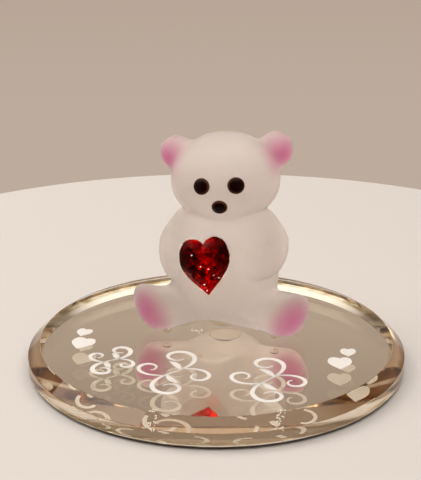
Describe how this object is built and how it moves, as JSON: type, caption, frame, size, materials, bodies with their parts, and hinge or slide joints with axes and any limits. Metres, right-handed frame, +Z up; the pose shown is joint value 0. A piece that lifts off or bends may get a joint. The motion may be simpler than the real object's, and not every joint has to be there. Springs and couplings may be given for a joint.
{
  "type": "crystal glass figurine",
  "caption": "Seated frosted glass teddy bear with pink ears and soles, holding a red crystal heart, glued to a round bevelled mirror base with white printed hearts and scrolls.",
  "frame": {"origin": "under the middle of the round mirror, on the plane of the bumpers' undersides that the figurine stands on", "axes": "+Z up, -Y the way the bear looks, +X to the right of someone looking at its face"},
  "size_m": [0.0762, 0.0762, 0.0466],
  "materials": {
    "clear_glass": "polished clear float glass",
    "silver": "bright silvering seen through the glass",
    "backing_paint": "matt protective mirror backing paint",
    "bumper_vinyl": "soft clear vinyl",
    "white_ink": "screen-printed opaque white ink",
    "frosted_glass": "etched translucent white glass",
    "frosted_pink": "etched glass tinted pink",
    "black_glass": "gloss black-brown glass",
    "red_crystal": "faceted polished red crystal",
    "foil": "reflective foil on the stone's back",
    "clear_adhesive": "clear cured adhesive"
  },
  "bodies": {
    "root": {"mirror_glass": "clear_glass", "silver_coating": "silver", "backing_paint": "backing_paint", "bumper_1": "bumper_vinyl", "bumper_2": "bumper_vinyl", "bumper_3": "bumper_vinyl", "bumper_4": "bumper_vinyl", "scroll_left": "white_ink", "scroll_middle": "white_ink", "scroll_right": "white_ink", "print_heart_small_left": "white_ink", "print_heart_large_left": "white_ink", "print_heart_small_right": "white_ink", "print_heart_large_right": "white_ink", "torso": "frosted_glass", "head": "frosted_glass", "ear_left": "frosted_pink", "ear_right": "frosted_pink", "arm_left": "frosted_glass", "arm_right": "frosted_glass", "leg_left": "frosted_glass", "leg_right": "frosted_glass", "eye_left": "black_glass", "eye_right": "black_glass", "nose": "black_glass", "heart_crystal": "red_crystal", "heart_foil": "foil", "heart_adhesive": "clear_adhesive", "seat_adhesive": "clear_adhesive", "foot_adhesive_left": "clear_adhesive", "foot_adhesive_right": "clear_adhesive"}
  },
  "joints": []
}
